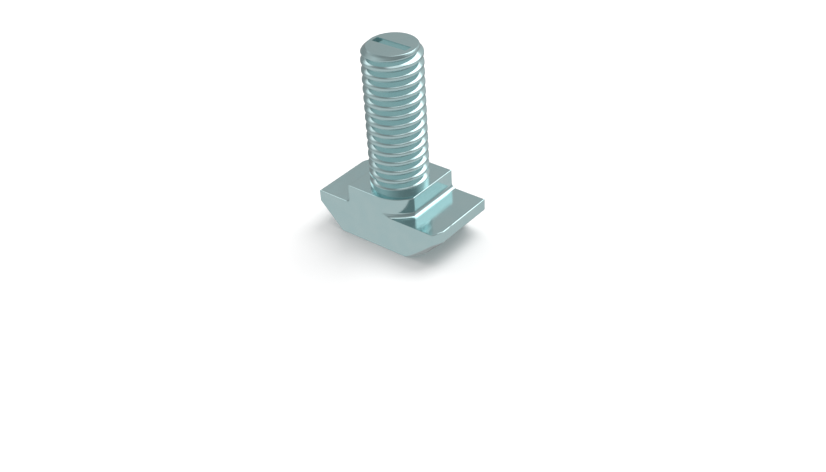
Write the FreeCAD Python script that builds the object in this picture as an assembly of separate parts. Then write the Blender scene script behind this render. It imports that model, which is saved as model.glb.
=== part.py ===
import FreeCAD, Part
import math
import os

# T-slot bolt: a hammer head with a short neck and a threaded shank, all one piece of steel.
# Units are millimetres. +Z runs up the shank, X along the hammer head, and the head stands on z = 0.
# Seen from the thread end, the head is dropped through the slot lengthwise and turned clockwise.
# Two opposite corners are turned about the shank's axis so that it can turn. The other two stay
# square and stop it after a quarter turn.

# Thread: M6 x 1, right hand. A crest's lower edge is at CREST_EDGE_HEIGHT on the +X side.
# The groove is at full depth down to FULL_THREAD_END, an angle from +X in degrees, and from there
# it runs out to nothing within RUN_OUT_SWEEP degrees.
THREAD_DIAMETER = 5.94
PITCH = 1.0
CREST_WIDTH = 0.29 * PITCH
ROOT_WIDTH = 0.06 * PITCH
FLANK_ANGLE = 30.0
END_CHAMFER = 0.45
CREST_EDGE_HEIGHT = 19.223
FULL_THREAD_END = -130.0
RUN_OUT_SWEEP = 80.0

# Hammer head
HEAD_LENGTH = 14.8
HEAD_WIDTH = 8.0
HEAD_THICKNESS = 3.9
BEVEL = 2.7
HEAD_TURN_RADIUS = 7.9

# Neck, which fills the mouth of the slot
NECK_LENGTH = 6.8
NECK_HEIGHT = 2.0
NECK_FILLET = 0.5

# Whole bolt, and the mark in its end that shows which way the head lies
TOTAL_HEIGHT = 20.4
MARK_LENGTH = 4.0
MARK_WIDTH = 0.85
MARK_DEPTH = 0.30

# Sizes that follow from those above
THREAD_RADIUS = THREAD_DIAMETER / 2
FLANK_SLOPE = math.tan(math.radians(FLANK_ANGLE))
THREAD_DEPTH = (PITCH - CREST_WIDTH - ROOT_WIDTH) / 2 / FLANK_SLOPE
ROOT_RADIUS = THREAD_RADIUS - THREAD_DEPTH
HALF_LENGTH = HEAD_LENGTH / 2
HALF_WIDTH = HEAD_WIDTH / 2
HALF_NECK = NECK_LENGTH / 2
NECK_TOP = HEAD_THICKNESS + NECK_HEIGHT

# How far the groove's section reaches out of the shank, and the groove's turns in each length cut
GROOVE_SPILL = 0.12
GROOVE_TURNS = 0.5

Z_AXIS = FreeCAD.Vector(0, 0, 1)
ORIGIN = FreeCAD.Vector(0, 0, 0)


def polygon_face(points):
    corners = [FreeCAD.Vector(*point) for point in points]
    return Part.Face(Part.makePolygon(corners + corners[:1]))


def outline_face(first, steps):
    """Face of straight runs and arcs: a step is (end,) or (point on the arc, end)."""
    edges = []
    start = FreeCAD.Vector(*first)
    for step in steps:
        points = [FreeCAD.Vector(*point) for point in step]
        if len(points) == 1:
            edges.append(Part.makeLine(start, points[0]))
        else:
            edges.append(Part.Arc(start, points[0], points[1]).toShape())
        start = points[-1]
    return Part.Face(Part.Wire(edges))


def fillet_middle(x, z):
    """Middle point of the neck's fillet, whose vertical tangent point is at x."""
    reach = NECK_FILLET * (1 - math.sqrt(0.5))
    return (x + reach, z + reach)


def head_prism():
    """The hammer head across its full width: flat bearing faces above, 45 degree bevels below."""
    face = polygon_face([
        (-HALF_LENGTH + BEVEL, -HALF_WIDTH, 0),
        (HALF_LENGTH - BEVEL, -HALF_WIDTH, 0),
        (HALF_LENGTH, -HALF_WIDTH, BEVEL),
        (HALF_LENGTH, -HALF_WIDTH, HEAD_THICKNESS),
        (-HALF_LENGTH, -HALF_WIDTH, HEAD_THICKNESS),
        (-HALF_LENGTH, -HALF_WIDTH, BEVEL),
    ])
    return face.extrude(FreeCAD.Vector(0, HEAD_WIDTH, 0))


def neck_prism():
    """The neck across its full width, with fillets down to the bearing faces."""
    y = -HALF_WIDTH
    foot = HALF_NECK + NECK_FILLET
    mid_x, mid_z = fillet_middle(HALF_NECK, HEAD_THICKNESS)
    face = outline_face((-foot, y, HEAD_THICKNESS), [
        ((foot, y, HEAD_THICKNESS),),
        ((mid_x, y, mid_z), (HALF_NECK, y, HEAD_THICKNESS + NECK_FILLET)),
        ((HALF_NECK, y, NECK_TOP),),
        ((-HALF_NECK, y, NECK_TOP),),
        ((-HALF_NECK, y, HEAD_THICKNESS + NECK_FILLET),),
        ((-mid_x, y, mid_z), (-foot, y, HEAD_THICKNESS)),
    ])
    return face.extrude(FreeCAD.Vector(0, HEAD_WIDTH, 0))


def turning_envelope():
    """The room that head and neck may take while they turn in the slot, as one turned solid."""
    foot = HALF_WIDTH + NECK_FILLET
    mid_x, mid_z = fillet_middle(HALF_WIDTH, HEAD_THICKNESS)
    face = outline_face((0, 0, 0), [
        ((HEAD_TURN_RADIUS - BEVEL, 0, 0),),
        ((HEAD_TURN_RADIUS, 0, BEVEL),),
        ((HEAD_TURN_RADIUS, 0, HEAD_THICKNESS),),
        ((foot, 0, HEAD_THICKNESS),),
        ((mid_x, 0, mid_z), (HALF_WIDTH, 0, HEAD_THICKNESS + NECK_FILLET)),
        ((HALF_WIDTH, 0, NECK_TOP),),
        ((0, 0, NECK_TOP),),
        ((0, 0, 0),),
    ])
    return face.revolve(ORIGIN, Z_AXIS, 360)


def square_quadrant(x_side):
    """Box over the quadrant whose corner stays square, on the -X, -Y side or the +X, +Y side."""
    box = Part.makeBox(HEAD_LENGTH, HEAD_LENGTH, TOTAL_HEIGHT)
    corner = 0 if x_side > 0 else -HEAD_LENGTH
    box.translate(FreeCAD.Vector(corner, corner, 0))
    return box


def head_and_neck():
    blank = head_prism().fuse(neck_prism())
    turned = blank.common(turning_envelope())
    square = [blank.common(square_quadrant(side)) for side in (-1, 1)]
    return turned.fuse(square).removeSplitter()


def shank():
    """Plain shank from inside the head up to its chamfered end."""
    rim = THREAD_RADIUS - END_CHAMFER
    face = polygon_face([
        (0, 0, HEAD_THICKNESS),
        (THREAD_RADIUS, 0, HEAD_THICKNESS),
        (THREAD_RADIUS, 0, TOTAL_HEIGHT - END_CHAMFER),
        (rim, 0, TOTAL_HEIGHT),
        (0, 0, TOTAL_HEIGHT),
    ])
    return face.revolve(ORIGIN, Z_AXIS, 360)


def groove_section():
    """The thread's groove in the XZ plane, centred on z = 0 and a little wider than the shank."""
    half_root = ROOT_WIDTH / 2
    half_mouth = half_root + (THREAD_DEPTH + GROOVE_SPILL) * FLANK_SLOPE
    points = [
        FreeCAD.Vector(ROOT_RADIUS, 0, -half_root),
        FreeCAD.Vector(THREAD_RADIUS + GROOVE_SPILL, 0, -half_mouth),
        FreeCAD.Vector(THREAD_RADIUS + GROOVE_SPILL, 0, half_mouth),
        FreeCAD.Vector(ROOT_RADIUS, 0, half_root),
    ]
    return Part.makePolygon(points + points[:1])


def sweep_groove(path, angle, height):
    """Groove along a path that starts on +X at z = 0, turned to an angle and raised to a height."""
    pipe = Part.BRepOffsetAPI.MakePipeShell(path)
    pipe.setBiNormalMode(Z_AXIS)
    pipe.add(groove_section())
    pipe.build()
    pipe.makeSolid()
    groove = pipe.shape()
    groove.rotate(ORIGIN, Z_AXIS, angle)
    groove.translate(FreeCAD.Vector(0, 0, height))
    return groove


def run_out_path(steps=9):
    """From the full-depth end on down the helix, rising clear of the shank ever more steeply."""
    rise = THREAD_DEPTH + GROOVE_SPILL / 2
    points = []
    for step in range(steps + 1):
        share = step / steps
        turn = -share * RUN_OUT_SWEEP
        radius = ROOT_RADIUS + rise * share ** 2
        points.append(FreeCAD.Vector(
            radius * math.cos(math.radians(turn)),
            radius * math.sin(math.radians(turn)),
            turn / 360 * PITCH,
        ))
    curve = Part.BSplineCurve()
    curve.interpolate(points)
    return Part.Wire([curve.toShape()])


def thread_grooves():
    """The groove in lengths end to end: its run-out near the neck, then up past the chamfer."""
    centre_at_zero = CREST_EDGE_HEIGHT - PITCH / 2 + CREST_WIDTH / 2
    turns_down = int(centre_at_zero - NECK_TOP)
    start = centre_at_zero - turns_down * PITCH + FULL_THREAD_END / 360 * PITCH
    grooves = [sweep_groove(run_out_path(), FULL_THREAD_END, start)]
    rise = GROOVE_TURNS * PITCH
    for count in range(math.ceil((TOTAL_HEIGHT + PITCH - start) / rise)):
        path = Part.makeHelix(PITCH, rise, ROOT_RADIUS)
        angle = FULL_THREAD_END + count * GROOVE_TURNS * 360
        grooves.append(sweep_groove(path, angle, start + count * rise))
    return grooves


def end_mark():
    """Shallow pocket across the end face, parallel to the head."""
    box = Part.makeBox(MARK_LENGTH, MARK_WIDTH, MARK_DEPTH)
    box.translate(FreeCAD.Vector(-MARK_LENGTH / 2, -MARK_WIDTH / 2, TOTAL_HEIGHT - MARK_DEPTH))
    return box


def t_slot_bolt():
    body = head_and_neck().fuse(shank()).removeSplitter()
    return body.cut(thread_grooves()).cut(end_mark())


bolt = t_slot_bolt()
os.makedirs("parts", exist_ok=True)
bolt.exportStep("parts/t_slot_bolt.step")
print("valid", bolt.isValid(), "solids", len(bolt.Solids), "faces", len(bolt.Faces))
print("volume mm3", round(bolt.Volume, 2), "box", bolt.BoundBox)
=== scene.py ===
import math

import bmesh
import bpy
from mathutils import Matrix, Vector


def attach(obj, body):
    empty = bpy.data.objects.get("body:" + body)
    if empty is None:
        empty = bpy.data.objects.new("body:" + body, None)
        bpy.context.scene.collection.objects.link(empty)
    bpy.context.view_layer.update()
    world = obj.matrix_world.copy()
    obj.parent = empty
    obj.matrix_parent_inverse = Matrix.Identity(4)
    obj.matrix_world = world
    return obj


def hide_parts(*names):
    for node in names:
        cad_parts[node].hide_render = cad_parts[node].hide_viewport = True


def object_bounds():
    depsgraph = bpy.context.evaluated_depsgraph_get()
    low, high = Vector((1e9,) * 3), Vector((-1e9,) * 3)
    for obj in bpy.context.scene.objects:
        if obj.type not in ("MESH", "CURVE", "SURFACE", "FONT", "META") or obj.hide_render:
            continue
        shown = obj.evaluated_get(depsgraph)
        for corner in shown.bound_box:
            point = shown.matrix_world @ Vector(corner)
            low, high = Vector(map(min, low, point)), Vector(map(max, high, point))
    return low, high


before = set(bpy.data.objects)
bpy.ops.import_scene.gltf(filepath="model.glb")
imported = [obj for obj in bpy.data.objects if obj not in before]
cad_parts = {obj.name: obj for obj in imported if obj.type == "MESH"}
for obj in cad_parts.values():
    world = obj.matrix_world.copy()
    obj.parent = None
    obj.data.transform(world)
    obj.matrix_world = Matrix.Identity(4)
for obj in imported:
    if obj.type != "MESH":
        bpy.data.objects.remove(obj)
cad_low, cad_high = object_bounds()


# Blank of the head and neck: a steel bar forged to one side outline, the same across its width.
# The bolt pulls with the flat upper faces of its wings, whose ends are bevelled at 45 degrees
# below, and a fillet joins each wing to the neck. All sizes here are in millimetres.
MM = 0.001
HALF_LENGTH = cad_high.x / MM
HALF_WIDTH = cad_high.y / MM
TOTAL_HEIGHT = cad_high.z / MM
HEAD_THICKNESS = 3.9
BEVEL = 2.7
HALF_NECK = 3.4
NECK_TOP = 5.9
FILLET = 0.5
FILLET_STEPS = 10
SAME_POINT = 1e-5


def arc(centre, radius, first, last, steps):
    """Points on an arc between two angles in degrees."""
    points = []
    for step in range(steps + 1):
        angle = math.radians(first + (last - first) * step / steps)
        points.append((centre[0] + radius * math.cos(angle), centre[1] + radius * math.sin(angle)))
    return points


def solid(name, verts, faces):
    """A closed mesh object, its double points merged and its faces all turned outwards."""
    mesh = bpy.data.meshes.new(name)
    mesh.from_pydata(verts, [], faces)
    shape = bmesh.new()
    shape.from_mesh(mesh)
    bmesh.ops.remove_doubles(shape, verts=shape.verts, dist=SAME_POINT)
    bmesh.ops.recalc_face_normals(shape, faces=shape.faces)
    shape.to_mesh(mesh)
    shape.free()
    made = bpy.data.objects.new(name, mesh)
    bpy.context.scene.collection.objects.link(made)
    return made


right_side = [(HALF_LENGTH - BEVEL, 0), (HALF_LENGTH, BEVEL), (HALF_LENGTH, HEAD_THICKNESS)]
right_side += arc((HALF_NECK + FILLET, HEAD_THICKNESS + FILLET), FILLET, 270, 180, FILLET_STEPS)
right_side += [(HALF_NECK, NECK_TOP)]
side_outline = right_side + [(-x, z) for x, z in reversed(right_side)]
count = len(side_outline)
blank_verts = [(x, y, z) for y in (-HALF_WIDTH, HALF_WIDTH) for x, z in side_outline]
blank_faces = [tuple(range(count)), tuple(range(count, 2 * count))]
blank_faces += [(i, (i + 1) % count, count + (i + 1) % count, count + i) for i in range(count)]
bolt = solid("bolt", blank_verts, blank_faces)


# Turned corners: two opposite corners of head and neck are turned about the shank's axis, so that
# the bolt can make a quarter turn once it is put in. The other two stay square and stop it there.
HEAD_TURN_RADIUS = 7.9
CUTTER_RADIUS = 12.0
CORNER_STEPS = 30
PAST_STEEL = 1.0


def turned(name, outline, first, last, steps):
    """Closed outline of (radius, height) points, turned about the axis between two angles."""
    whole = last - first == 360
    columns = steps if whole else steps + 1
    count = len(outline)
    verts = []
    for column in range(columns):
        angle = math.radians(first + (last - first) * column / steps)
        verts += [(r * math.cos(angle), r * math.sin(angle), z) for r, z in outline]
    faces = []
    for column in range(steps):
        a, b = column * count, (column + 1) % columns * count
        faces += [(a + i, b + i, b + (i + 1) % count, a + (i + 1) % count) for i in range(count)]
    if not whole:
        faces += [tuple(range(count)), tuple(range(steps * count, columns * count))]
    return solid(name, verts, faces)


def settle(piece):
    """Makes what a piece's modifiers do a part of its mesh."""
    shown = piece.evaluated_get(bpy.context.evaluated_depsgraph_get())
    mesh = bpy.data.meshes.new_from_object(shown)
    piece.modifiers.clear()
    piece.data = mesh


def work(piece, tool, operation):
    """Cuts, joins or intersects a piece with a tool, which is used up."""
    step = piece.modifiers.new("step", "BOOLEAN")
    step.operation, step.solver, step.object = operation, "EXACT", tool
    settle(piece)
    bpy.data.objects.remove(tool)


around = [(HEAD_TURN_RADIUS - BEVEL - PAST_STEEL, -PAST_STEEL)]
around += [(HEAD_TURN_RADIUS, BEVEL), (HEAD_TURN_RADIUS, HEAD_THICKNESS)]
around += arc((HALF_WIDTH + FILLET, HEAD_THICKNESS + FILLET), FILLET, 270, 180, FILLET_STEPS)
around += [(HALF_WIDTH, NECK_TOP + PAST_STEEL), (CUTTER_RADIUS, NECK_TOP + PAST_STEEL)]
around += [(CUTTER_RADIUS, -PAST_STEEL)]
for first_angle in (-90, 90):
    corner = turned("corner", around, first_angle, first_angle + 90, CORNER_STEPS)
    work(bolt, corner, "DIFFERENCE")


# Edges: tumbling after the forging, and then the plating, leave every edge of head and neck
# rounded by about a tenth of a millimetre.
EDGE_RADIUS, EDGE_STEPS = 0.10, 3
SHARP = math.radians(30)

rounding = bolt.modifiers.new("rounding", "BEVEL")
rounding.width, rounding.segments = EDGE_RADIUS, EDGE_STEPS
rounding.limit_method, rounding.angle_limit = "ANGLE", SHARP
rounding.use_clamp_overlap = False
settle(bolt)


# Shank: the thread is rolled, M6 x 1, with rounded crests and roots and a faint shoulder on each
# upper flank. Near the neck the groove rises out of the steel and ends. At the top it runs through
# a 45 degree chamfer, whose lower edge is taken off by a narrow land.
THREAD_RADIUS = 2.97
PITCH = 1.0
CREST_WIDTH, ROOT_WIDTH = 0.29, 0.06
FLANK_ANGLE = 30
FLANK_SLOPE = math.tan(math.radians(FLANK_ANGLE))
THREAD_DEPTH = (PITCH - CREST_WIDTH - ROOT_WIDTH) / 2 / FLANK_SLOPE
CREST_EDGE_HEIGHT = 19.223
FULL_THREAD_END = -130
RUN_OUT_SWEEP, RUN_OUT_CLEAR = 80, 0.06
END_CHAMFER = 0.45
CREST_TOP_ROUND, CREST_UNDER_ROUND, ROOT_ROUND = 0.03, 0.12, 0.06
SHOULDER_DEPTH, SHOULDER_SLOPE, SHOULDER_ROUND = 0.16, 1.3, 0.04
TIP_LAND, TIP_ROUND = 0.11, 0.04
COLUMN_ANGLE = 4
COLUMN_POINTS = 49
TURNS_PAST_END = 1.2
LEAST_WIDTH = 1e-6

end_radius = THREAD_RADIUS - END_CHAMFER

# Height of the groove's middle on the +X side, near the end and then in the lowest turn.
centre_at_zero = CREST_EDGE_HEIGHT - PITCH / 2 + CREST_WIDTH / 2
lowest_at_zero = centre_at_zero - int((centre_at_zero - NECK_TOP) / PITCH) * PITCH


def soft_min(a, b, width):
    """The lower of two values, rounded off where they are closer than width."""
    near = max(width - abs(a - b), 0) / max(width, LEAST_WIDTH)
    return min(a, b) - near ** 2 * width / 4


def shank_radius(height, offset, lift):
    """Radius at a height, from the offset to the groove's middle and how far the groove is lifted."""
    root = THREAD_RADIUS - max(THREAD_DEPTH - lift, 0)
    flank = root + (abs(offset) - ROOT_WIDTH / 2) / FLANK_SLOPE
    crest_round = CREST_UNDER_ROUND if offset > 0 else CREST_TOP_ROUND
    if offset < 0:
        knee = THREAD_RADIUS - SHOULDER_DEPTH
        shoulder = knee + (flank - knee) * SHOULDER_SLOPE * FLANK_SLOPE
        flank = soft_min(flank, shoulder, SHOULDER_ROUND)
    groove = -soft_min(-flank, -root, ROOT_ROUND)
    groove = soft_min(groove, THREAD_RADIUS, min(crest_round, (THREAD_RADIUS - root) / 2))
    chamfer = end_radius + TOTAL_HEIGHT - height
    land = (groove * FLANK_SLOPE + chamfer) / (FLANK_SLOPE + 1) - TIP_LAND
    return soft_min(soft_min(groove, chamfer, TIP_ROUND), land, TIP_ROUND)


# The surface is one long strip wound up the shank, from mid-crest to mid-crest.
columns_below = int((RUN_OUT_SWEEP + 360) / COLUMN_ANGLE)
turns_above = (TOTAL_HEIGHT - lowest_at_zero) / PITCH + TURNS_PAST_END
columns_above = int(turns_above * 360 / COLUMN_ANGLE)
shank_verts = []
for column in range(-columns_below, columns_above):
    turn = column * COLUMN_ANGLE
    lift = (THREAD_DEPTH + RUN_OUT_CLEAR) * (max(-turn, 0) / RUN_OUT_SWEEP) ** 2
    angle = math.radians(FULL_THREAD_END + turn)
    middle = lowest_at_zero + (FULL_THREAD_END + turn) / 360 * PITCH
    for i in range(COLUMN_POINTS):
        offset = (i / (COLUMN_POINTS - 1) - 0.5) * PITCH
        r = shank_radius(middle + offset, offset, lift)
        shank_verts.append((r * math.cos(angle), r * math.sin(angle), middle + offset))

last = columns_below + columns_above - 1
gaps = range(COLUMN_POINTS - 1)
shank_faces = []
for column in range(last):
    a, b = column * COLUMN_POINTS, (column + 1) * COLUMN_POINTS
    shank_faces += [(a + i, b + i, b + i + 1, a + i + 1) for i in gaps]

# A fan of faces about the axis closes the strip's first turn below, and its last turn above.
per_turn = int(360 / COLUMN_ANGLE)
foot, top = len(shank_verts), len(shank_verts) + 1
shank_verts += [(0, 0, shank_verts[0][2]), (0, 0, shank_verts[-1][2])]
shank_faces += [((c + 1) * COLUMN_POINTS, c * COLUMN_POINTS, foot) for c in range(per_turn)]
shank_faces += [(i, i + 1, foot) for i in gaps]
for c in range(last - per_turn, last):
    shank_faces.append(((c + 1) * COLUMN_POINTS - 1, (c + 2) * COLUMN_POINTS - 1, top))
shank_faces += [(last * COLUMN_POINTS + i + 1, last * COLUMN_POINTS + i, top) for i in gaps]
shank = solid("shank", shank_verts, shank_faces)


# End of the shank: a flat face with a finely rounded rim, and a shallow pocket along the head,
# which shows how the head lies once it is out of sight.
MARK_LENGTH, MARK_WIDTH, MARK_DEPTH = 4.0, 0.85, 0.30
END_SHAPE_FOOT, END_SHAPE_REACH, END_SHAPE_DROP = 1.0, 0.4, 0.35

# Points of the rim: how far out from the chamfer's upper edge each lies, and how far down.
RIM = ((0.018, 0.021), (0.007, 0.011), (-0.004, 0.004), (-0.016, 0.0))

reach = THREAD_RADIUS + END_SHAPE_REACH
end_outline = [(0, END_SHAPE_FOOT), (reach, END_SHAPE_FOOT), (reach, TOTAL_HEIGHT - END_SHAPE_DROP)]
end_outline += [(end_radius + out, TOTAL_HEIGHT - down) for out, down in RIM] + [(0, TOTAL_HEIGHT)]
work(shank, turned("end_shape", end_outline, 0, 360, per_turn), "INTERSECT")

mark_verts = [
    (x * MARK_LENGTH / 2, y * MARK_WIDTH / 2, z)
    for z in (TOTAL_HEIGHT - MARK_DEPTH, TOTAL_HEIGHT + PAST_STEEL) for y in (-1, 1) for x in (-1, 1)
]
mark_faces = [(0, 1, 3, 2), (4, 5, 7, 6), (0, 1, 5, 4), (2, 3, 7, 6), (0, 2, 6, 4), (1, 3, 7, 5)]
work(shank, solid("mark", mark_verts, mark_faces), "DIFFERENCE")
work(bolt, shank, "UNION")

# Flat faces have to shade flat beside their rounded edges. This is done before the mesh goes from
# millimetres to metres, where its faces are too small for it.
for face in bolt.data.polygons:
    face.use_smooth = True
bolt.data.set_sharp_from_angle(angle=SHARP)
shading = bolt.modifiers.new("shading", "WEIGHTED_NORMAL")
shading.keep_sharp = True
settle(bolt)
bolt.data.transform(Matrix.Scale(MM, 4))


# Finish: zinc plating with a clear blue-green passivation over smooth rolled steel. It is glossy,
# deeper in tone where one face mirrors another, as in the thread, and the film is a little uneven:
# it clouds softly in tone and gloss over a millimetre or two, and the zinc leaves a fine grain.
PLATED = (0.59, 0.78, 0.79, 1)
PLATED_THICK = (0.565, 0.77, 0.785, 1)
ROUGHNESS, ROUGHNESS_CLOUDED = 0.125, 0.185
CLOUDS_PER_M, CLOUD_DETAIL = 700, 3
CLOUD_FADE = (0.35, 0.65)
GRAIN_PER_M, GRAIN_DETAIL = 9000, 1
GRAIN_HEIGHT_MM = 0.0012

plating = bpy.data.materials.new("plating")
plating.use_nodes = True
nodes, links = plating.node_tree.nodes, plating.node_tree.links
surface = nodes["Principled BSDF"]
surface.inputs["Metallic"].default_value = 1
place = nodes.new("ShaderNodeTexCoord")


def noise(per_metre, detail):
    """Noise over the piece, with about so many spots to a metre."""
    spots = nodes.new("ShaderNodeTexNoise")
    spots.inputs["Scale"].default_value = per_metre
    spots.inputs["Detail"].default_value = detail
    links.new(place.outputs["Object"], spots.inputs["Vector"])
    return spots.outputs["Fac"]


def fade(tree, value, ends, low, high, kind="SMOOTHSTEP"):
    """A value carried from the range between two ends to another, and held beyond them."""
    spread = tree.nodes.new("ShaderNodeMapRange")
    spread.interpolation_type = kind
    tree.links.new(value, spread.inputs["Value"])
    numbers = (("From Min", ends[0]), ("From Max", ends[1]), ("To Min", low), ("To Max", high))
    for name, number in numbers:
        spread.inputs[name].default_value = number
    return spread.outputs["Result"]


clouds = fade(plating.node_tree, noise(CLOUDS_PER_M, CLOUD_DETAIL), CLOUD_FADE, 0, 1, "LINEAR")
tone = nodes.new("ShaderNodeMix")
tone.data_type = "RGBA"
tone.inputs["A"].default_value, tone.inputs["B"].default_value = PLATED, PLATED_THICK
gloss = nodes.new("ShaderNodeMix")
gloss.inputs["A"].default_value, gloss.inputs["B"].default_value = ROUGHNESS, ROUGHNESS_CLOUDED
for mix, use in ((tone, "Base Color"), (gloss, "Roughness")):
    links.new(clouds, mix.inputs["Factor"])
    links.new(mix.outputs["Result"], surface.inputs[use])
relief = nodes.new("ShaderNodeBump")
relief.inputs["Distance"].default_value = GRAIN_HEIGHT_MM * MM
links.new(noise(GRAIN_PER_M, GRAIN_DETAIL), relief.inputs["Height"])
links.new(relief.outputs["Normal"], surface.inputs["Normal"])
bolt.data.materials.append(plating)

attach(bolt, "root")
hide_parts("t_slot_bolt")


# Floor: a plain pale sheet of matt paper that the bolt stands on. What the plating mirrors of it is
# painted by direction, darker behind the bolt than in front of it.
FLOOR_HALF_M = 1.5
PAPER, PAPER_ROUGHNESS = (0.86, 0.86, 0.86, 1), 0.9
WHITE = (1, 1, 1, 1)
FRONT = (0.656, -0.755, 0)
FRONT_FADE = (0.1, 0.8)
FLOOR_IN_FRONT, FLOOR_BEHIND = 0.60, 0.32

corners = [(x * FLOOR_HALF_M, y * FLOOR_HALF_M, 0) for x, y in ((-1, -1), (1, -1), (1, 1), (-1, 1))]
floor_mesh = bpy.data.meshes.new("floor")
floor_mesh.from_pydata(corners, [], [(0, 1, 2, 3)])
floor = bpy.data.objects.new("floor", floor_mesh)
bpy.context.scene.collection.objects.link(floor)
paper = bpy.data.materials.new("paper")
paper.use_nodes = True
nodes, links = paper.node_tree.nodes, paper.node_tree.links
matt = nodes["Principled BSDF"]
matt.inputs["Base Color"].default_value = PAPER
matt.inputs["Roughness"].default_value = PAPER_ROUGHNESS
matt.inputs["Specular IOR Level"].default_value = 0


def along(tree, direction, vector):
    """How far a direction goes along a vector, from -1 to 1."""
    dot = tree.nodes.new("ShaderNodeVectorMath")
    dot.operation = "DOT_PRODUCT"
    tree.links.new(direction, dot.inputs[0])
    dot.inputs[1].default_value = vector
    return dot.outputs["Value"]


def by_ray(tree, kind, others, special):
    """One shader for the rays of a kind, such as Is Glossy Ray, and another for all others."""
    rays = tree.nodes.new("ShaderNodeLightPath")
    choice = tree.nodes.new("ShaderNodeMixShader")
    tree.links.new(rays.outputs[kind], choice.inputs["Fac"])
    tree.links.new(others, choice.inputs[1])
    tree.links.new(special, choice.inputs[2])
    return choice.outputs["Shader"]


seen_from = nodes.new("ShaderNodeNewGeometry").outputs["Incoming"]
seen_from_front = along(paper.node_tree, seen_from, FRONT)
mirrored_floor = fade(paper.node_tree, seen_from_front, FRONT_FADE, FLOOR_IN_FRONT, FLOOR_BEHIND)
glow = nodes.new("ShaderNodeEmission")
glow.inputs["Color"].default_value = WHITE
links.new(mirrored_floor, glow.inputs["Strength"])
sheet = by_ray(paper.node_tree, "Is Glossy Ray", matt.outputs["BSDF"], glow.outputs["Emission"])
links.new(sheet, nodes["Material Output"].inputs["Surface"])
floor_mesh.materials.append(paper)


# Light: a pale studio with four soft lamps, one behind to the right, a weak one at the right, one
# behind to the left and one overhead. What the plating mirrors is painted by direction: a sky that
# is palest at both sides and darker to the front, behind and overhead, with the glow of each lamp.
SKY_PLAIN = (0.62, 0.62, 0.62, 1)
SKY_FRONT = -18
SKY_MIRRORED = (
    (-1.0, 0.30), (-0.86, 0.32), (-0.79, 0.42), (-0.70, 0.47), (-0.25, 0.60),
    (0.0, 0.54), (0.34, 0.42), (0.75, 0.26), (1.0, 0.23),
)
SKY_OVERHEAD = 0.28
OVERHEAD_FADE = (0.5, 0.9)
LAMP_SIZE_M, LAMP_DISTANCE_M = 0.30, 0.40

# Each lamp's azimuth and elevation, where its glow is full and where it ends, all in degrees, and
# then what the glow adds to the mirrored sky and the lamp's own power in watts.
LAMPS = (
    ("lamp_right", 73, 56, 10, 30, 1.8, 0.9),
    ("lamp_side", 46, 42, 5, 32, 0.25, 0.1),
    ("lamp_left", 162, 42, 5, 23, 1.15, 0.4),
    ("lamp_top", 60, 88, 8, 24, 0.70, 0.3),
)

world = bpy.data.worlds.new("studio")
world.use_nodes = True
bpy.context.scene.world = world
nodes, links = world.node_tree.nodes, world.node_tree.links
plain = nodes["Background"]
plain.inputs["Color"].default_value = SKY_PLAIN
mirrored, white = nodes.new("ShaderNodeBackground"), nodes.new("ShaderNodeBackground")
mirrored.inputs["Color"].default_value = WHITE
white.inputs["Color"].default_value = WHITE
looking = nodes.new("ShaderNodeTexCoord").outputs["Generated"]


def towards(azimuth, elevation):
    """Unit vector to a place in the sky, from its angles in degrees."""
    across, rise = math.radians(azimuth), math.radians(elevation)
    flat = math.cos(rise)
    return Vector((math.cos(across) * flat, math.sin(across) * flat, math.sin(rise)))


ramp = nodes.new("ShaderNodeValToRGB")
while len(ramp.color_ramp.elements) < len(SKY_MIRRORED):
    ramp.color_ramp.elements.new(0.5)
for stop, (ahead, grey) in zip(ramp.color_ramp.elements, SKY_MIRRORED):
    stop.position, stop.color = (ahead + 1) / 2, (grey, grey, grey, 1)
to_front = along(world.node_tree, looking, towards(SKY_FRONT, 0))
links.new(fade(world.node_tree, to_front, (-1, 1), 0, 1, "LINEAR"), ramp.inputs["Fac"])
upward = along(world.node_tree, looking, (0, 0, 1))
sky = nodes.new("ShaderNodeMix")
links.new(fade(world.node_tree, upward, OVERHEAD_FADE, 0, 1), sky.inputs["Factor"])
links.new(ramp.outputs["Color"], sky.inputs["A"])
sky.inputs["B"].default_value = SKY_OVERHEAD
brightness = sky.outputs["Result"]

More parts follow.
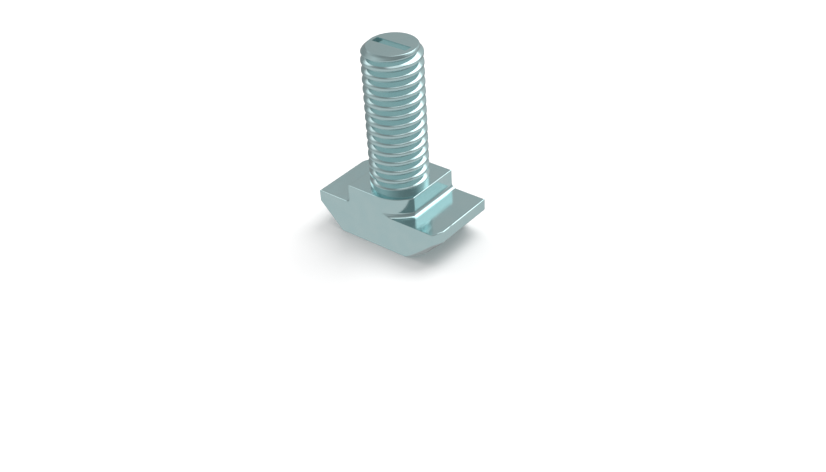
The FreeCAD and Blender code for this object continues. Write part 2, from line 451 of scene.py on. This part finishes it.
for name, azimuth, elevation, inner, outer, added, power in LAMPS:
    look = towards(azimuth, elevation)
    ends = (math.cos(math.radians(outer)), math.cos(math.radians(inner)))
    total = nodes.new("ShaderNodeMath")
    links.new(brightness, total.inputs[0])
    to_lamp = along(world.node_tree, looking, look)
    links.new(fade(world.node_tree, to_lamp, ends, 0, added), total.inputs[1])
    brightness = total.outputs["Value"]
    light = bpy.data.lights.new(name, "AREA")
    light.shape, light.size, light.energy = "DISK", LAMP_SIZE_M, power
    lamp = bpy.data.objects.new(name, light)
    lamp.location = look * LAMP_DISTANCE_M + Vector((0, 0, TOTAL_HEIGHT * MM / 2))
    lamp.rotation_mode = "QUATERNION"
    lamp.rotation_quaternion = look.to_track_quat("Z", "Y")
    lamp.visible_glossy = False
    bpy.context.scene.collection.objects.link(lamp)

links.new(brightness, mirrored.inputs["Strength"])
around_bolt = by_ray(
    world.node_tree, "Is Glossy Ray", plain.outputs["Background"], mirrored.outputs["Background"])
studio = by_ray(world.node_tree, "Is Camera Ray", around_bolt, white.outputs["Background"])
links.new(studio, nodes["World Output"].inputs["Surface"])


# Camera: at the photo's angle, looking down on the bolt past one corner of its head. Its place is in
# millimetres, and its right and up are directions.
CAMERA_PLACE = (62.59, -72.84, 66.44)
CAMERA_RIGHT = (0.78568, 0.61666, -0.04929)
CAMERA_UP = (-0.32441, 0.47855, 0.81594)
SENSOR_WIDTH_MM, LENS_MM = 36, 50
NEAREST_M, FARTHEST_M = 0.005, 10

camera_data = bpy.data.cameras.new("camera")
camera_data.sensor_width, camera_data.lens = SENSOR_WIDTH_MM, LENS_MM
camera_data.clip_start, camera_data.clip_end = NEAREST_M, FARTHEST_M
camera = bpy.data.objects.new("camera", camera_data)
bpy.context.scene.collection.objects.link(camera)
right, up = Vector(CAMERA_RIGHT).normalized(), Vector(CAMERA_UP).normalized()
back = right.cross(up).normalized()
facing = Matrix((right, back.cross(right), back)).transposed()
camera.matrix_world = Matrix.Translation(Vector(CAMERA_PLACE) * MM) @ facing.to_4x4()
bpy.context.scene.camera = camera
bpy.context.scene.view_settings.view_transform = "Standard"
